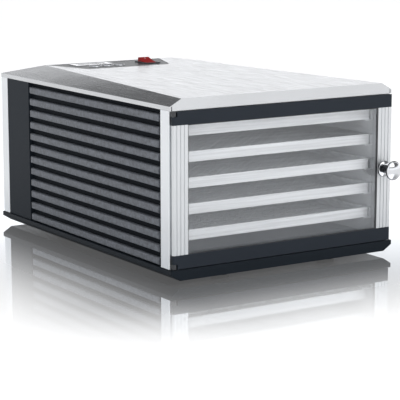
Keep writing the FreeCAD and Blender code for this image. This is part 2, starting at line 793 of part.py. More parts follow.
def fan_shroud():
    body = new_body("fan_shroud")
    place, middle = D.shroud_place, D.fan_level
    sheet = sketch_on(body, "XZ", place)
    rectangle(sheet, (-CHAMBER_HALF, CHAMBER_HALF), (D.chamber_floor, D.chamber_roof))
    pad(body, sheet, D.liner)
    collar = sketch_on(body, "XZ", place)
    circle(collar, 0, middle, D.fan_radius + 7)
    pad(body, collar, 10, forward=False)
    bore = sketch_on(body, "XZ", place - 10)
    circle(bore, 0, middle, D.fan_radius + 5)
    pocket(body, bore, 12)
    leads = sketch_on(body, "XZ", place)
    for x in (-HEATER_LEAD, HEATER_LEAD):
        circle(leads, x, HEATER_LEAD_LEVEL, 4)
    pocket(body, leads, 2)
    finish("fan_shroud", body)


def heater_element():
    """A tubular ring round the fan's mouth, open at the bottom, with two leads to the rear."""
    ring = doc.addObject("Part::Torus", "heater_ring")
    ring.Radius1 = HEATER_RING
    ring.Radius2 = HEATER_TUBE
    ring.Angle3 = 360 - HEATER_GAP
    lay = FreeCAD.Rotation(FreeCAD.Vector(1, 0, 0), 90)
    spin = FreeCAD.Rotation(FreeCAD.Vector(0, 0, 1), HEATER_GAP / 2 - 90)
    ring.Placement.Rotation = lay.multiply(spin)
    place = D.shroud_place - 17
    put(ring, 0, place, D.fan_level)
    leads = []
    for side, sign in SIDES:
        lead = rod(f"heater_lead_{side}", HEATER_TUBE, 36, sign * HEATER_LEAD, place,
                   HEATER_LEAD_LEVEL, "y")
        leads.append(lead)
    finish("heater_element", join("heater_element", [ring] + leads))


def heater_clips():
    """Three saddles that carry the heater ring on the shroud."""
    clips = []
    place = D.shroud_place
    for number, angle in enumerate((0, 90, 180)):
        x = HEATER_RING * math.cos(math.radians(angle))
        level = D.fan_level + HEATER_RING * math.sin(math.radians(angle))
        foot = block(f"clip_foot_{number}", (x - 5, x + 5), (place - 17, place), (level - 5, level + 5))
        hole = doc.addObject("Part::Torus", f"clip_hole_{number}")
        hole.Radius1 = HEATER_RING
        hole.Radius2 = HEATER_TUBE + 0.05
        hole.Placement.Rotation = AXES["y"]
        put(hole, 0, place - 17, D.fan_level)
        clips.append(cut(f"clip_{number}", foot, [hole]))
    finish("heater_clips", collect("heater_clips", clips))


def fan():
    place, middle = D.shroud_place, D.fan_level
    boss_bore = rod("motor_bore", 2.5 + D.running_gap, 30, 0, place + 6, middle, "y")
    can = rod("motor_can", 29, 26, 0, place + 14, middle, "y")
    boss = rod("motor_boss", 10, 8, 0, place + 8, middle, "y")
    finish("fan_motor", cut("fan_motor", join("motor_blank", [can, boss]), [boss_bore]))

    strap = block("bracket_strap", (-100, 100), (place + 12, place + 14), (middle - 9, middle + 9))
    legs = [block(f"bracket_leg_{side}", (sign * 98 - 2, sign * 98 + 2), (place + D.liner, place + 13),
                  (middle - 9, middle + 9)) for side, sign in SIDES]
    eye = rod("bracket_eye", 10.05, 10, 0, place + 8, middle, "y")
    finish("motor_bracket", cut("motor_bracket", join("bracket_blank", [strap] + legs), [eye]))

    finish("fan_shaft", rod("fan_shaft", 2.5, 48, 0, place - 12, middle, "y"))

    hub = rod("impeller_hub", 18, 15, 0, 0, 0, "y")
    blades = [fan_blade(number) for number in range(FAN_BLADES)]
    bore = rod("impeller_bore", 2.5, 17, 0, -1, 0, "y")
    wheel = cut("fan_impeller", join("impeller_blank", [hub] + blades), [bore])
    finish("fan_impeller", wheel, 0, place - 10, middle)


def fan_blade(number):
    """A flat blade set at an angle to the fan's axis, one of FAN_BLADES round the hub."""
    blade = doc.addObject("Part::Box", f"blade_{number}")
    bind(blade, "Length", D.fan_radius - 16)
    blade.Width = 22
    blade.Height = 1.8
    pitch = FreeCAD.Rotation(FreeCAD.Vector(1, 0, 0), BLADE_TWIST)
    spin = FreeCAD.Rotation(FreeCAD.Vector(0, 1, 0), number * 360 / FAN_BLADES)
    centred = FreeCAD.Placement(FreeCAD.Vector(15, -11, -0.9), FreeCAD.Rotation())
    middle = FreeCAD.Placement(FreeCAD.Vector(0, 7.5, 0), spin.multiply(pitch))
    blade.Placement = middle.multiply(centred)
    return blade


def sensors():
    place = D.shroud_place
    body = rod("cutout_can", 8, 6, 118, place - 6, 178, "y")
    plate = block("cutout_plate", (104, 132), (place - 1, place), (174, 182))
    finish("thermal_cutout", join("thermal_cutout", [body, plate]))
    rear = D.chamber_rear + D.liner
    stem = rod("probe_stem", 2, 26, 40, rear - 16, 194, "y")
    collar = rod("probe_collar", 5, 2, 40, rear, 194, "y")
    finish("temperature_probe", join("temperature_probe", [stem, collar]))


def power_inlet():
    """A panel-mounted appliance inlet with three pins."""
    rear = D.body_depth
    flange = block("inlet_flange", (-135, -85), (rear, rear + 1.4), (38, 62))
    shell = block("inlet_shell", (-123.8, -96.2), (rear - 24, rear), (39.7, 60.3))
    cavity = block("inlet_cavity", (-121.5, -98.5), (rear - 18, rear + 2), (41.7, 58.3))
    pins = []
    for number, (x, z) in enumerate(((-117, 49.5), (-110, 54.5), (-103, 49.5))):
        pins.append(block(f"inlet_pin_{number}", (x - 1, x + 1), (rear - 18, rear - 5), (z - 2, z + 2)))
    finish("power_inlet", cut("power_inlet", join("inlet_blank", [flange, shell]), [cavity]))
    finish("inlet_pins", collect("inlet_pins", pins))


# ---------------------------------------------------------------- door


def door_rail(name, low, high, groove, notch):
    """A full-width rail: round left end about the hinge axis, pane groove, hinge notch and bore."""
    body = new_body(name)
    section = sketch_on(body, "XY", low)
    rectangle(section, (-DOOR_HALF, DOOR_HALF), (DOOR_FRONT, DOOR_REAR))
    pad(body, section, high - low)
    left = -DOOR_HALF.number
    round_edges(body, D.hinge_inset - 0.01, lambda e: upright(e) and e.BoundBox.XMax < left + 0.01)
    slot = sketch_on(body, "XY", groove[0])
    rectangle(slot, (-PANE_HALF, PANE_HALF), (PANE_FRONT, PANE_REAR))
    pocket(body, slot, groove[1] - groove[0])
    corner = sketch_on(body, "XY", notch[0])
    rectangle(corner, (-DOOR_HALF - 1, HINGE_X + 3.5), (DOOR_FRONT - 1, DOOR_REAR + 1))
    pocket(body, corner, notch[1] - notch[0])
    bore = sketch_on(body, "XY", low)
    circle(bore, HINGE_X, HINGE_Y, D.pin_radius + D.running_gap)
    pocket(body, bore, high - low)
    finish(name, body)


def door_stile(side, sign):
    """A ribbed extrusion between the rails, grooved for the pane on its inner edge."""
    body = new_body(f"door_stile_{side}")
    low, high = D.door_foot + D.rail_low, DOOR_TOP - D.rail_top
    outer, inner = sign * DOOR_HALF, sign * (DOOR_HALF - D.stile)
    section = sketch_on(body, "XY", low)
    rectangle(section, (outer, inner), (DOOR_FRONT, DOOR_REAR))
    pad(body, section, high - low)
    if sign < 0:
        left = -DOOR_HALF.number
        round_edges(body, D.hinge_inset - 0.01, lambda e: upright(e) and e.BoundBox.XMax < left + 0.01)
    flute = sketch_on(body, "XY", low)
    first = -DOOR_HALF + 4.7 if sign < 0 else DOOR_HALF - D.stile + 4.7
    rectangle(flute, (first, first + 1.3), (DOOR_FRONT - 1, DOOR_FRONT + 0.9))
    flute_cut = pocket(body, flute, high - low)
    repeat(body, flute_cut, flute, "H_Axis", 3, 5.6)
    doc.recompute()
    groove = sketch_on(body, "XY", low)
    rectangle(groove, (inner, inner + sign * D.pane_bite), (PANE_FRONT, PANE_REAR))
    pocket(body, groove, high - low)
    finish(f"door_stile_{side}", body)


def door_pane():
    pane = block("door_pane", (-PANE_HALF, PANE_HALF), (PANE_FRONT, PANE_REAR), (PANE_FOOT, PANE_HEAD))
    finish("door_pane", pane)


def hinge_bracket(name, low):
    """A knuckle with the tab that carries it on the front post."""
    knuckle = rod(f"{name}_knuckle", D.hinge_inset - 0.02, KNUCKLE, HINGE_X, HINGE_Y, low)
    tab = block(f"{name}_tab", (HINGE_X - 2.9, HINGE_X + 2.9), (HINGE_Y, 0), (low, low + KNUCKLE))
    eye = rod(f"{name}_eye", D.pin_radius, KNUCKLE, HINGE_X, HINGE_Y, low)
    return cut(f"{name}_bracket", join(f"{name}_blank", [knuckle, tab]), [eye])


def hinges():
    """Two brackets on the front post, each with a pin that enters the bore of a rail."""
    upper = DOOR_TOP - KNUCKLE
    brackets = [hinge_bracket("lower", D.door_foot), hinge_bracket("upper", upper)]
    finish("hinge_brackets", collect("hinge_brackets", brackets))
    pins = [rod(f"hinge_pin_{name}", D.pin_radius, 2 * KNUCKLE, HINGE_X, HINGE_Y, low)
            for name, low in (("lower", D.door_foot), ("upper", upper - KNUCKLE))]
    finish("hinge_pins", collect("hinge_pins", pins))


def door():
    low_split, top_split = D.door_foot + D.rail_low, DOOR_TOP - D.rail_top
    low_notch = (D.door_foot - 1, D.door_foot + KNUCKLE + KNUCKLE_GAP)
    top_notch = (DOOR_TOP - KNUCKLE - KNUCKLE_GAP, DOOR_TOP + 1)
    door_rail("door_bottom_rail", D.door_foot, low_split, (PANE_FOOT, low_split + 1), low_notch)
    door_rail("door_top_rail", top_split, DOOR_TOP, (top_split - 1, PANE_HEAD), top_notch)
    for side, sign in SIDES:
        door_stile(side, sign)
    door_pane()
    hinges()
    strike = block("door_strike", (146, 156), (DOOR_REAR, DOOR_REAR + 0.4), (200, 204))
    finish("door_strike", strike)
    magnet = block("door_magnet", (144, CHAMBER_HALF), (0.2, 14), (199, D.chamber_roof))
    finish("door_magnet", magnet)
    knob()


def knob():
    """A turned pull with its rosette on the right stile; drawn about +Z and laid towards the front."""
    lay = FreeCAD.Rotation(FreeCAD.Vector(1, 0, 0), 90)
    x = DOOR_HALF - D.stile / 2
    rosette = new_body("knob_rosette")
    ring = sketch_on(rosette, "XZ")
    outline(ring, [(0, 0), (10.5, 0), (10.5, 1), (9, 2.4), (6.5, 3), (0, 3)])
    turn(rosette, ring)
    rosette.Placement.Rotation = lay
    finish("knob_rosette", rosette, x, DOOR_FRONT, D.knob_level)
    pull = new_body("knob")
    head, radius = D.knob_reach - 3, D.knob_radius
    turned = sketch_on(pull, "XZ")
    outline(turned, [
        (0, 0), (5, 0), (4.2, 3), (4.2, head - 10), (6, head - 8), (radius - 0.6, head - 6),
        (radius, head - 5), (radius, head - 3.4), (radius - 1.2, head - 1.6),
        (radius - 4, head - 0.5), (0, head),
    ])
    turn(pull, turned)
    pull.Placement.Rotation = lay
    finish("knob", pull, x, DOOR_FRONT - 3, D.knob_level)


# ---------------------------------------------------------------- assembly and export


def build():
    base_pan()
    feet()
    for side, sign in SIDES:
        for end in ("front", "rear"):
            corner_post(end, side, sign)
        side_panel(side, sign)
        chamber_wall(side, sign)
    rear_cover()
    screws()
    top_cover()
    console()
    control_board()
    display()
    for name, x in BUTTONS:
        push_button(name, x)
    rocker_switch()
    chamber_sheets()
    air_baffle()
    grid = tray_grid_source()
    for number in range(1, int(D.tray_count.number) + 1):
        tray(number, grid)
    crumb_tray()
    fan_shroud()
    heater_element()
    heater_clips()
    fan()
    sensors()
    power_inlet()
    door()
    doc.recompute()


def check_and_export():
    failed = [item.Name for item in doc.Objects if {"Invalid", "Error"} & set(item.State)]
    if failed:
        raise RuntimeError(f"failed objects: {failed}")
    for part in SUB_PARTS:
        shape = part.Shape
        if shape.isNull() or not shape.isValid() or not shape.Solids:
            raise RuntimeError(f"{part.Label}: no valid solid")
    os.makedirs("parts", exist_ok=True)
    for part in SUB_PARTS:
        part.Shape.exportStep(f"parts/{part.Label}.step")
    whole = FreeCAD.BoundBox()
    for part in SUB_PARTS:
        whole.add(part.Shape.BoundBox)
    print(len(SUB_PARTS), "sub-parts", whole)


build()
check_and_export()
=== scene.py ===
import json
import math

import bmesh
import bpy
from mathutils import Matrix, Vector


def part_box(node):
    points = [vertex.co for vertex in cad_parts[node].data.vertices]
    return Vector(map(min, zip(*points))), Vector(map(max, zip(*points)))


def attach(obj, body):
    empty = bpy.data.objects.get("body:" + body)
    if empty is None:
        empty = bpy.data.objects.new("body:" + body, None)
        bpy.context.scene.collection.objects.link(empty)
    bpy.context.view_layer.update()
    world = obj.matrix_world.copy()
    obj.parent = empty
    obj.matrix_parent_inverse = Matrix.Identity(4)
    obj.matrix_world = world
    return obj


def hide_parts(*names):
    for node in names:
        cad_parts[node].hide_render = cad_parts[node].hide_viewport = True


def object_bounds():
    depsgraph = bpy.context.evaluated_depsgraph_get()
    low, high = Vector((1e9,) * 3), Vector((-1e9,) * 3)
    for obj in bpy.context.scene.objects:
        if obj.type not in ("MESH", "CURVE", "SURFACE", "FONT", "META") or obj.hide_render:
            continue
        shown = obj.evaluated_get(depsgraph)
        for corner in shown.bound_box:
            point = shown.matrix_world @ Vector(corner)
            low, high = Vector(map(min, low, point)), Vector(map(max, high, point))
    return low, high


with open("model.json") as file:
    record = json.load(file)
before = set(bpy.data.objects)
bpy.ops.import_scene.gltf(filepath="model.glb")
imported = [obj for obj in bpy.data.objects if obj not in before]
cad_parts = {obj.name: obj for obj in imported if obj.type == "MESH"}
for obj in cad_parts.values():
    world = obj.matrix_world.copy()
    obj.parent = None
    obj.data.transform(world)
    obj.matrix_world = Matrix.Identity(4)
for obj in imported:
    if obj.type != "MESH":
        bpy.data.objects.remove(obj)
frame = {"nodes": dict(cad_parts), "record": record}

CAD_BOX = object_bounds()
MM = 0.001
NODES = frame["nodes"]
RECORD = frame["record"]
BODY_OF = {node: body for body, nodes in RECORD["behaviour"]["bodies"].items() for node in nodes}
SLOT_OF = {part["node"]: part["material_slot"] for part in RECORD["subparts"]}

# The camera comes from a perspective fit of the body's corners in the photograph.
CAMERA_LENS = 145.56
CAMERA_SPOT = (-1.1955, -1.8711, 0.4692)
CAMERA_TURN = (math.pi / 2 - 0.184, 0, -0.573)

# The world's brightness by height: straight ahead, overhead, and (height, brightness) stops between them.
WORLD_AHEAD = (1.5, 1.5, 1.52, 1)
WORLD_OVERHEAD = (0.85, 0.87, 0.90, 1)
HORIZON = ((0.18, 1.5), (0.25, 0.18), (0.62, 0.16), (0.8, 0.45))

# Each area light's name, place, target, size and power in watts.
LIGHTS = (
    ("overhead", (-0.4, 0.2, 2.6), (0, 0, 0.1), (3.4, 3.2), 14),
    ("front", (0.6, -2.6, 1.9), (0.1, -0.2, 0.1), (2.4, 1.8), 34),
    ("left", (-2.3, -0.4, 1.1), (0, 0, 0.1), (1.4, 1.2), 3),
)

FLOOR_HALF = 14
FLOOR_GLOW = 0.74
POLISH_SHARE = 0.9
POLISH_REACH = 0.31

# The radius in mm that rounds the sharp edges of each CAD node that keeps its own shape.
FINER = {
    "top_cover": 0.9, "base_pan": 0.7, "rubber_feet": 0.6,
    "post_front_left": 0.4, "post_front_right": 0.4, "post_rear_left": 0.4, "post_rear_right": 0.4,
    "rear_cover": 0.4,
    "console": 0.35, "switch_frame": 0.4, "display_bezel": 0.35, "rocker": 0.5,
    "rear_cover_screws": 0.25, "top_cover_screws": 0.25, "power_inlet": 0.35,
    "door_top_rail": 0.4, "door_bottom_rail": 0.4, "door_stile_left": 0.3, "door_stile_right": 0.3,
    "hinge_brackets": 0.3, "door_strike": 0.12, "door_magnet": 0.5,
    "chamber_ceiling": 0.3, "crumb_tray": 0.4,
    "tray_1": 0.6, "tray_2": 0.6, "tray_3": 0.6, "tray_4": 0.6, "tray_5": 0.6,
    "fan_motor": 0.8, "motor_bracket": 0.4, "thermal_cutout": 0.3,
}

# The angle in degrees above which an edge is rounded. The cover's shallow folds need a smaller one.
SHARP = 28
SHARP_ON = {"top_cover": 4}


# ---------------------------------------------------------------- camera, light, floor


def camera():
    data = bpy.data.cameras.new("camera")
    data.sensor_width = 36
    data.lens = CAMERA_LENS
    data.clip_start, data.clip_end = 0.05, 60
    view = bpy.data.objects.new("camera", data)
    view.location = CAMERA_SPOT
    view.rotation_euler = CAMERA_TURN
    bpy.context.scene.collection.objects.link(view)
    bpy.context.scene.camera = view


def area_light(name, place, target, size, power):
    data = bpy.data.lights.new(name, "AREA")
    data.shape = "RECTANGLE"
    data.size, data.size_y = size
    data.energy = power
    lamp = bpy.data.objects.new(name, data)
    lamp.location = place
    lamp.rotation_euler = (Vector(target) - Vector(place)).to_track_quat("-Z", "Y").to_euler()
    bpy.context.scene.collection.objects.link(lamp)


def studio():
    """A bright horizon, a greyer band above it and a large soft light overhead."""
    world = bpy.data.worlds.new("studio")
    world.use_nodes = True
    bpy.context.scene.world = world
    nodes, links = world.node_tree.nodes, world.node_tree.links
    background = nodes["Background"]
    place = nodes.new("ShaderNodeTexCoord")
    split = nodes.new("ShaderNodeSeparateXYZ")
    ramp = nodes.new("ShaderNodeValToRGB")
    links.new(place.outputs["Generated"], split.inputs[0])
    links.new(split.outputs["Z"], ramp.inputs["Fac"])
    links.new(ramp.outputs["Color"], background.inputs["Color"])
    background.inputs["Strength"].default_value = 1.0
    stops = ramp.color_ramp.elements
    stops[0].position, stops[0].color = 0.0, WORLD_AHEAD
    stops[1].position, stops[1].color = 1.0, WORLD_OVERHEAD
    for position, level in HORIZON:
        stop = stops.new(position)
        stop.color = (level, level * 1.01, level * 1.03, 1)
    for light in LIGHTS:
        area_light(*light)
    scene = bpy.context.scene
    scene.view_settings.view_transform = "Standard"
    scene.view_settings.look = "None"
    scene.cycles.use_denoising = True
    scene.cycles.max_bounces = 10
    scene.cycles.transparent_max_bounces = 12
    scene.cycles.sample_clamp_indirect = 6


def floor():
    """White, with a polish that fades away from the object."""
    mesh = bpy.data.meshes.new("floor")
    corners = [(x * FLOOR_HALF, y * FLOOR_HALF, 0) for x, y in ((-1, -1), (1, -1), (1, 1), (-1, 1))]
    mesh.from_pydata(corners, [], [(0, 1, 2, 3)])
    ground = bpy.data.objects.new("floor", mesh)
    bpy.context.scene.collection.objects.link(ground)
    paint = bpy.data.materials.new("floor_white")
    paint.use_nodes = True
    nodes, links = paint.node_tree.nodes, paint.node_tree.links
    shader = nodes["Principled BSDF"]
    shader.inputs["Base Color"].default_value = (0.5, 0.5, 0.5, 1)
    shader.inputs["Roughness"].default_value = 0.6
    shader.inputs["Specular IOR Level"].default_value = 0.1
    shader.inputs["Emission Color"].default_value = (1, 1, 1, 1)
    shader.inputs["Emission Strength"].default_value = FLOOR_GLOW
    polish = nodes.new("ShaderNodeBsdfGlossy")
    polish.inputs["Color"].default_value = (0.95, 0.975, 1, 1)
    polish.inputs["Roughness"].default_value = 0.03
    place = nodes.new("ShaderNodeTexCoord")
    steps = [place.outputs["Object"]]
    half = [(high - low) / 2 for low, high in zip(*CAD_BOX)]
    distance = (("ABSOLUTE", None), ("SUBTRACT", (*half[:2], 0)), ("MAXIMUM", (0, 0, 0)), ("LENGTH", None))
    for operation, other in distance:
        node = nodes.new("ShaderNodeVectorMath")
        node.operation = operation
        links.new(steps[-1], node.inputs[0])
        if other:
            node.inputs[1].default_value = other
        steps.append(node.outputs["Value" if operation == "LENGTH" else "Vector"])
    fade = nodes.new("ShaderNodeMapRange")
    fade.interpolation_type = "SMOOTHSTEP"
    fade.inputs["From Min"].default_value, fade.inputs["From Max"].default_value = 0.0, POLISH_REACH
    fade.inputs["To Min"].default_value, fade.inputs["To Max"].default_value = POLISH_SHARE, 0.0
    links.new(steps[-1], fade.inputs["Value"])
    mix = nodes.new("ShaderNodeMixShader")
    links.new(fade.outputs["Result"], mix.inputs["Fac"])
    links.new(shader.outputs[0], mix.inputs[1])
    links.new(polish.outputs[0], mix.inputs[2])
    links.new(mix.outputs[0], nodes["Material Output"].inputs["Surface"])
    mesh.materials.append(paint)


# ---------------------------------------------------------------- materials


class Surface:
    """A procedural material: a Principled shader with grain in its colour, roughness and relief."""

    def __init__(self, name, colour, roughness, metallic=0.0, **sockets):
        self.name = name
        self.material = bpy.data.materials.new(name)
        self.material.use_nodes = True
        tree = self.material.node_tree
        self.nodes, self.links = tree.nodes, tree.links
        self.shader = self.nodes["Principled BSDF"]
        self.colour = colour
        self.shader.inputs["Base Color"].default_value = (*colour, 1)
        self.shader.inputs["Roughness"].default_value = roughness
        self.shader.inputs["Metallic"].default_value = metallic
        for socket, value in sockets.items():
            self.shader.inputs[socket.replace("_", " ")].default_value = value
        self.place = self.nodes.new("ShaderNodeTexCoord").outputs["Object"]

    def noise(self, scale, stretch=(1, 1, 1), detail=3.0, rough=0.55):
        mapping = self.nodes.new("ShaderNodeMapping")
        mapping.inputs["Scale"].default_value = stretch
        self.links.new(self.place, mapping.inputs["Vector"])
        texture = self.nodes.new("ShaderNodeTexNoise")
        texture.inputs["Scale"].default_value = scale
        texture.inputs["Detail"].default_value = detail
        texture.inputs["Roughness"].default_value = rough
        self.links.new(mapping.outputs["Vector"], texture.inputs["Vector"])
        return texture.outputs["Fac"]

    def spread(self, source, low, high, edges=(0.3, 0.7)):
        ramp = self.nodes.new("ShaderNodeMapRange")
        ramp.inputs["From Min"].default_value, ramp.inputs["From Max"].default_value = edges
        ramp.inputs["To Min"].default_value, ramp.inputs["To Max"].default_value = low, high
        self.links.new(source, ramp.inputs["Value"])
        return ramp.outputs["Result"]

    def tone(self, source, darker, lighter, edges=(0.3, 0.7)):
        """Colour that wanders between two shades of the base colour."""
        mix = self.nodes.new("ShaderNodeMix")
        mix.data_type = "RGBA"
        self.links.new(self.spread(source, 0, 1, edges), mix.inputs["Factor"])
        for socket, level in (("A", darker), ("B", lighter)):
            shade = [min(1, channel * level) for channel in self.colour]
            next(i for i in mix.inputs if i.name == socket and i.type == "RGBA").default_value = (*shade, 1)
        result = next(o for o in mix.outputs if o.type == "RGBA")
        self.links.new(result, self.shader.inputs["Base Color"])
        return self

    def gloss(self, source, low, high, edges=(0.3, 0.7)):
        self.links.new(self.spread(source, low, high, edges), self.shader.inputs["Roughness"])
        return self

    def relief(self, source, depth):
        bump = self.nodes.new("ShaderNodeBump")
        bump.inputs["Distance"].default_value = depth
        bump.inputs["Strength"].default_value = 1.0
        self.links.new(source, bump.inputs["Height"])
        self.links.new(bump.outputs["Normal"], self.shader.inputs["Normal"])
        return self


def brushed(name, colour, roughness, along, depth=0.000008):
    """Sheet metal brushed along one axis."""
    surface = Surface(name, colour, roughness, 1.0)
    stretch = {"x": (0.02, 1, 1), "y": (1, 0.02, 1), "z": (1, 1, 0.02)}[along]
    lines = surface.noise(900, stretch, detail=4)
    clouds = surface.noise(9, detail=2)
    surface.tone(clouds, 0.97, 1.03)
    surface.gloss(lines, roughness - 0.05, roughness + 0.08)
    return surface.relief(lines, depth)


def moulded(name, colour, roughness, grain, depth, spots=(0.9, 1.1), **sockets):
    """Moulded plastic with an eroded grain."""
    surface = Surface(name, colour, roughness, **sockets)
    fine = surface.noise(grain, detail=5, rough=0.7)
    surface.tone(fine, *spots)
    surface.gloss(fine, roughness - 0.06, roughness + 0.1)
    return surface.relief(fine, depth)


def plain_paint(name, colour, roughness, **sockets):
    """Paint or lacquer with a faint orange peel."""
    surface = Surface(name, colour, roughness, **sockets)
    peel = surface.noise(420, detail=2)
    clouds = surface.noise(14, detail=2)
    surface.tone(clouds, 0.96, 1.04)
    surface.gloss(clouds, roughness - 0.03, roughness + 0.04)
    return surface.relief(peel, 0.00001)


def streaked(name, colour, roughness):
    """Milky translucent plastic with flow lines along x."""
    surface = Surface(name, colour, roughness)
    lines = surface.noise(330, (0.02, 0.2, 1), detail=3)
    surface.tone(lines, 0.82, 1.08)
    surface.gloss(lines, roughness - 0.06, roughness + 0.1)
    return surface.relief(lines, 0.00002)


def smoked_glass():
    """Glass with a half-mirrored smoky film."""
    surface = Surface("smoked_glass", (0.60, 0.62, 0.65), 0.04, 1.0, Alpha=0.1)
    haze = surface.noise(16, detail=3)
    surface.gloss(haze, 0.03, 0.06)
    surface.tone(haze, 0.96, 1.04)
    return surface


def finishes():
    """Every material by its name. Moulded ones give their grain, its depth and the range of its tone."""
    surfaces = (
        brushed("cover_steel", (0.56, 0.57, 0.585), 0.22, "y", depth=0.000003),
        brushed("post_aluminium", (0.70, 0.72, 0.74), 0.36, "z"),
        brushed("stile_aluminium", (0.60, 0.615, 0.63), 0.4, "z"),
        moulded("panel_black", (0.112, 0.121, 0.138), 0.5, 230, 0.0003, (0.55, 1.6), Specular_IOR_Level=0.35),
        moulded("panel_cheek", (0.017, 0.022, 0.029), 0.42, 500, 0.00005, Specular_IOR_Level=0.06),
        # painted shade: near-black for the recess between the ribs, where shade falls
        moulded("panel_recess", (0.005, 0.007, 0.010), 0.6, 230, 0.0002, Specular_IOR_Level=0.04),
        plain_paint("base_black", (0.010, 0.014, 0.019), 0.35, Specular_IOR_Level=0.07),
        moulded("rear_black", (0.030, 0.032, 0.036), 0.42, 500, 0.00006),
        moulded("console_black", (0.035, 0.038, 0.043), 0.32, 700, 0.00003),
        plain_paint("display_glass", (0.008, 0.009, 0.011), 0.06),
        plain_paint("board_green", (0.015, 0.10, 0.035), 0.35),
        plain_paint("switch_red", (0.30, 0.005, 0.005), 0.34, Specular_IOR_Level=0.15),
        plain_paint("button_grey", (0.30, 0.31, 0.33), 0.28),
        plain_paint("liner_white", (0.74, 0.76, 0.78), 0.35),
        streaked("tray_white", (0.86, 0.88, 0.90), 0.34),
        brushed("tray_metal", (0.62, 0.63, 0.65), 0.36, "x"),
        brushed("heater_steel", (0.20, 0.17, 0.155), 0.42, "x"),
        brushed("motor_steel", (0.46, 0.47, 0.48), 0.38, "y"),
        moulded("fan_plastic", (0.045, 0.046, 0.05), 0.4, 600, 0.00003),
        brushed("sensor_aluminium", (0.70, 0.71, 0.72), 0.35, "y"),
        brushed("sensor_brass", (0.60, 0.43, 0.19), 0.32, "y"),
        moulded("inlet_plastic", (0.02, 0.02, 0.022), 0.4, 700, 0.00003),
        moulded("foot_rubber", (0.007, 0.008, 0.009), 0.75, 500, 0.00008, (0.8, 1.3), Specular_IOR_Level=0.1),
        plain_paint("rail_dark", (0.016, 0.021, 0.029), 0.3, Specular_IOR_Level=0.14),
        smoked_glass(),
        brushed("trim_chrome", (0.62, 0.63, 0.65), 0.12, "z", depth=0.000004),
        # painted dark reflection: a dark copy of the knob's chrome, standing in for dark surroundings it
        # would mirror
        brushed("chrome_painted_dark_reflection", (0.07, 0.074, 0.08), 0.14, "z", depth=0.000004),
        plain_paint("hinge_metal", (0.03, 0.032, 0.036), 0.4),
        brushed("pin_steel", (0.58, 0.59, 0.60), 0.28, "z"),
        brushed("screw_steel", (0.62, 0.62, 0.63), 0.27, "x"),
        moulded("magnet_case", (0.62, 0.63, 0.64), 0.42, 700, 0.00003),
    )
    return {surface.name: surface.material for surface in surfaces}


# ---------------------------------------------------------------- pieces


def link(name, mesh):
    piece = bpy.data.objects.new(name, mesh)
    bpy.context.scene.collection.objects.link(piece)
    return piece


def smooth_mesh(name, made):
    mesh = bpy.data.meshes.new(name)
    made.to_mesh(mesh)
    made.free()
    mesh.polygons.foreach_set("use_smooth", [True] * len(mesh.polygons))
    return mesh


def round_edges(piece, radius, segments=2):
    bevel = piece.modifiers.new("edges", "BEVEL")
    bevel.width = radius
    bevel.segments = segments
    return bevel


def dress(piece, body, slot, *replaced):
    """Give a piece its material, the body it rides on and the CAD nodes it stands in for."""
    piece.data.materials.clear()
    piece.data.materials.append(MATERIALS[slot])
    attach(piece, body)
    if replaced:
        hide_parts(*replaced)
    return piece


def finer(node, radius):
    """A CAD node's own shape with its sharp edges rounded off."""
    mesh = NODES[node].data.copy()
    made = bmesh.new()
    made.from_mesh(mesh)
    bmesh.ops.remove_doubles(made, verts=made.verts, dist=2e-6)
    bmesh.ops.dissolve_limit(made, angle_limit=math.radians(0.6), verts=made.verts, edges=made.edges)
    made.to_mesh(mesh)
    made.free()
    mesh.name = f"finer_{node}"
    piece = link(f"finer_{node}", mesh)
    mesh.polygons.foreach_set("use_smooth", [True] * len(mesh.polygons))
    bevel = round_edges(piece, radius)
    bevel.limit_method = "ANGLE"
    bevel.angle_limit = math.radians(SHARP_ON.get(node, SHARP))
    piece.modifiers.new("normals", "WEIGHTED_NORMAL")
    return dress(piece, BODY_OF[node], SLOT_OF[node], node)


def turned(name, profile, centre, axis, steps=64):
    """A lathe-turned piece. The profile's points are (radius, distance along the axis) in metres."""
    made = bmesh.new()
    rings = []
    for radius, along in profile:
        if radius < 1e-7:
            rings.append([made.verts.new((0, 0, along))])
            continue
        angles = [2 * math.pi * step / steps for step in range(steps)]
        rings.append([made.verts.new((radius * math.cos(a), radius * math.sin(a), along)) for a in angles])
    for lower, upper in zip(rings, rings[1:]):
        for step in range(steps):
            after = (step + 1) % steps
            corners = [lower[step % len(lower)], lower[after % len(lower)],
                       upper[after % len(upper)], upper[step % len(upper)]]
            made.faces.new(list(dict.fromkeys(corners)))
    bmesh.ops.recalc_face_normals(made, faces=made.faces)
    turn = Vector((0, 0, 1)).rotation_difference(Vector(axis)).to_matrix().to_4x4()
    bmesh.ops.transform(made, matrix=Matrix.Translation(centre) @ turn, verts=made.verts)
    mesh = smooth_mesh(name, made)
    mesh.set_sharp_from_angle(angle=math.radians(40))
    return link(name, mesh)


def arc(centre, radius, start, end, steps):
    """Points (radius, along) on an arc in a profile's plane, angles in degrees."""
    points = []
    for step in range(steps + 1):
        angle = math.radians(start + (end - start) * step / steps)
        points.append((centre[0] + radius * math.cos(angle), centre[1] + radius * math.sin(angle)))
    return points


def plates(name, boxes, radius, segments=2):
    """Bars and plates with rounded edges, each given by two corners."""
    made = bmesh.new()
    for low, high in boxes:
        low, high = Vector(low), Vector(high)
        matrix = Matrix.Translation((low + high) / 2) @ Matrix.Diagonal((*(high - low), 1))
        bmesh.ops.create_cube(made, size=1, matrix=matrix)
    piece = link(name, smooth_mesh(name, made))
    round_edges(piece, radius, segments).harden_normals = True
    return piece


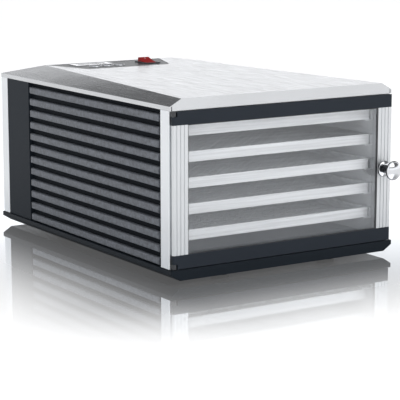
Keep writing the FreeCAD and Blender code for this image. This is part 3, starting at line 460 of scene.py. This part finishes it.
def louvres(side):
    """A side panel: grained ribs over a recess painted near-black as shade, and a smooth cheek behind them.
    """
    rib_depth, cheek_length = 4.3 * MM, 66.5 * MM
    piece = finer(f"side_panel_{side}", 0.35 * MM)
    low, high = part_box(f"side_panel_{side}")
    recess = max(abs(low.x), abs(high.x)) - rib_depth
    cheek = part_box(f"post_rear_{side}")[0].y - cheek_length
    piece.data.materials.append(MATERIALS["panel_cheek"])
    piece.data.materials.append(MATERIALS["panel_recess"])
    for face in piece.data.polygons:
        if face.center.y > cheek:
            face.material_index = 1
        # faces set back into the recess get the painted shade
        elif abs(face.center.x) < recess:
            face.material_index = 2


def pane():
    low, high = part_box("door_pane")
    glass = plates("glass_pane", [(low, high)], 0.5 * MM)
    dress(glass, "door", "smoked_glass", "door_pane")


def pane_seals_and_painted_shade():
    """Dark bedding strips between the pane and the door frame; the wide strip at the right stile is painted
    shade of the stile's inner side face.
    """
    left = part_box("door_stile_left")[1].x
    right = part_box("door_stile_right")[0].x
    foot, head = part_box("door_bottom_rail")[1].z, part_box("door_top_rail")[0].z
    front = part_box("door_pane")[0].y
    near, far = front - 0.55 * MM, front + 0.05 * MM
    wide, thin = 2.6 * MM, 0.9 * MM
    strips = [
        # the wide right strip is painted shade, standing in for the shaded inner side face of the right
        # stile; the thin strips are bedding
        ((right - wide, near, foot), (right, far, head)),
        ((left, near, foot), (left + thin, far, head)),
        ((left + thin, near, head - thin), (right - wide, far, head)),
        ((left + thin, near, foot), (right - wide, far, foot + thin)),
    ]
    dress(plates("pane_seals_and_painted_shade", strips, 0.15 * MM), "door", "hinge_metal")


def knob():
    """The turned knob and its rosette, chrome in front, with a painted dark reflection on the faces that turn
    to the door and on the rosette's centre and rim.
    """
    low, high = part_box("knob")
    centre = (low + high) / 2
    reach, radius = high.y - low.y, (high.x - low.x) / 2
    neck, flare, rim, dome, steps = 4.2 * MM, 3 * MM, 1.7 * MM, 3.1 * MM, 14
    collar = reach - 10.5 * MM
    profile = [(0, 0), (5 * MM, 0), (4.4 * MM, 1.2 * MM), (neck, 3 * MM), (neck, collar)]
    profile += arc((neck + flare, collar), flare, 180, 95, 6)
    profile += [(radius - 1.6 * MM, reach - 6.4 * MM)]
    profile += arc((radius - rim, reach - 4.7 * MM), rim, -80, 70, 10)
    for step in range(steps):
        share = step / steps
        profile.append(((radius - rim) * (1 - share), reach - dome + dome * (1 - (1 - share) ** 2.0)))
    profile.append((0, reach))
    piece = turned("knob_pull", profile, (centre.x, high.y, centre.z), (0, -1, 0), 96)
    dress(piece, "door", "trim_chrome", "knob")
    # painted dark reflection on the knob's back and neck, the faces towards the door
    back = high.y - reach + 3.4 * MM
    shade(piece, lambda spot: spot.y > back)
    low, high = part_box("knob_rosette")
    radius, thick = (high.x - low.x) / 2, high.y - low.y
    profile = [(0, 0), (radius, 0), (radius, 0.6 * MM)]
    profile += arc((radius - 0.8 * MM, 0.9 * MM), 0.8 * MM, 0, 60, 5)
    profile += [(radius - 2.2 * MM, 2.1 * MM), (radius - 3.6 * MM, 2.7 * MM), (5.5 * MM, thick), (0, thick)]
    piece = turned("knob_base", profile, (centre.x, high.y, centre.z), (0, -1, 0), 96)
    dress(piece, "door", "trim_chrome", "knob_rosette")
    # painted dark reflection on the rosette's centre and outer rim; the ring between them stays bright chrome
    inner, outer = radius - 4.4 * MM, radius - 0.5 * MM
    shade(piece, lambda spot: not inner <= math.hypot(spot.x - centre.x, spot.z - centre.z) <= outer)


def shade(piece, chosen):
    """Painted dark reflection on the faces whose centre is chosen."""
    piece.data.materials.append(MATERIALS["chrome_painted_dark_reflection"])
    for face in piece.data.polygons:
        face.material_index = int(chosen(face.center))


def button_details(name):
    """A dished cap with a chrome ring round it and a raised mark."""
    node = f"button_{name}"
    low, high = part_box(node)
    centre = (low + high) / 2
    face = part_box("console")[1].z
    radius, edge, dish, sunk, steps = 6.4 * MM, 0.9 * MM, 0.7 * MM, 2.5 * MM, 8
    depth = high.z - face
    profile = [(0, -sunk), (radius, -sunk), (radius, depth - edge)]
    profile += arc((radius - edge, depth - edge), edge, 0, 90, 6)
    for step in range(1, steps):
        share = step / steps
        profile.append(((radius - edge) * (1 - share), depth - dish * math.sin(share * math.pi / 2)))
    profile.append((0, depth - dish))
    cap = turned(f"{node}_cap", profile, (centre.x, centre.y, face), (0, 0, 1), 48)
    dress(cap, node, "button_grey", node)
    inner, outer, wall = 6.75 * MM, 8.6 * MM, 0.35 * MM
    ring = [(inner, 0), (outer, 0), (outer, wall)]
    ring += arc((7.7 * MM, wall), 0.9 * MM, 0, 180, 10)[1:]
    ring += [(inner, wall), (inner, 0)]
    dress(turned(f"{node}_ring", ring, (centre.x, centre.y, face), (0, 0, 1), 64), "cabinet", "trim_chrome")
    top = face + depth - 0.75 * MM
    bars = {"minus": [(2.4, 0.45)], "plus": [(2.4, 0.45), (0.45, 2.4)], "start": [(0.45, 1.9)]}[name]
    boxes = []
    for width, length in bars:
        half = Vector((width * MM, length * MM, 0))
        spot = Vector((centre.x, centre.y, top))
        boxes.append((spot - half, spot + half + Vector((0, 0, 0.25 * MM))))
    dress(plates(f"{node}_mark", boxes, 0.1 * MM), node, "console_black")


def display():
    """The window with four dim seven-segment digits under it."""
    low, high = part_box("display_window")
    dress(plates("display_glass", [(low, high)], 0.2 * MM), "cabinet", "display_glass", "display_window")
    wide, tall, thin = 5.2 * MM, 8.6 * MM, 0.75 * MM
    level = high.z - 0.02 * MM
    lift = 0.06 * MM
    middle = (low + high) / 2
    boxes = []
    for digit in range(4):
        x = middle.x + (digit - 1.5) * 8.4 * MM + (0.9 * MM if digit > 1 else -0.9 * MM)
        left, right = x - wide / 2, x + wide / 2
        near, far = middle.y - tall / 2, middle.y + tall / 2
        for y in (near, middle.y - thin / 2, far - thin):
            boxes.append(((left + thin, y, level), (right - thin, y + thin, level + lift)))
        for start, end in ((near + thin, middle.y - thin), (middle.y + thin, far - thin)):
            for edge in (left, right - thin):
                boxes.append(((edge, start, level), (edge + thin, end, level + lift)))
    dot = 1 * MM
    for y in (middle.y - 2 * MM, middle.y + 1.2 * MM):
        boxes.append(((middle.x - dot / 2, y, level), (middle.x + dot / 2, y + dot, level + lift)))
    dress(plates("display_digits", boxes, 0.02 * MM, 1), "cabinet", "console_black")


def rocker_mark():
    """The on bar on the rocker."""
    low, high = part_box("rocker")
    middle = (low + high) / 2
    bar = plates("rocker_bar", [((middle.x - 0.5 * MM, high.y - 6.6 * MM, high.z - 2.3 * MM),
                                 (middle.x + 0.5 * MM, high.y - 2.6 * MM, high.z - 1.0 * MM))], 0.1 * MM)
    dress(bar, "rocker", "tray_white")


def woven_mesh():
    """One woven sheet shared by the racks: round strands that pass over and under each other."""
    pitch, strand, wave, sides = 6.4 * MM, 0.42 * MM, 0.3 * MM, 5
    low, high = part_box("tray_grid_1")
    size = high - low
    rows = {"x": int(size.y / pitch), "y": int(size.x / pitch)}
    made = bmesh.new()
    centre = (low + high) / 2
    for along, across in (("x", "y"), ("y", "x")):
        length = size.x if along == "x" else size.y
        count, crossings = rows[along], rows[across]
        for row in range(count + 1):
            offset = (row - count / 2) * pitch
            previous = None
            for step in range(crossings + 3):
                place = min(max((step - 1 - crossings / 2) * pitch, -length / 2), length / 2)
                sign = 1 if (row + step + (along == "x")) % 2 else -1
                height = wave * sign if 0 < step < crossings + 2 else 0
                ring = []
                for corner in range(sides):
                    angle = 2 * math.pi * corner / sides
                    side, up = strand * math.cos(angle), strand * math.sin(angle) * 0.8 + height
                    spot = (place, offset + side, up) if along == "x" else (offset + side, place, up)
                    ring.append(made.verts.new(spot))
                if previous:
                    for corner in range(sides):
                        after = (corner + 1) % sides
                        made.faces.new((previous[corner], previous[after], ring[after], ring[corner]))
                previous = ring
    bmesh.ops.recalc_face_normals(made, faces=made.faces)
    mesh = smooth_mesh("woven_mesh", made)
    for number in range(1, 6):
        piece = link(f"woven_mesh_{number}", mesh)
        piece.location = (centre.x, centre.y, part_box(f"tray_grid_{number}")[1].z + 0.75 * MM)
        bpy.context.view_layer.update()
        dress(piece, f"tray_{number}", "tray_white")


# ---------------------------------------------------------------- the scene

camera()
studio()
floor()
MATERIALS = finishes()
for node, thing in NODES.items():
    thing.data.materials.clear()
    thing.data.materials.append(MATERIALS[SLOT_OF[node]])
for node, radius in FINER.items():
    finer(node, radius * MM)
for side in ("left", "right"):
    louvres(side)
pane()
pane_seals_and_painted_shade()
knob()
for name in ("minus", "plus", "start"):
    button_details(name)
display()
rocker_mark()
woven_mesh()
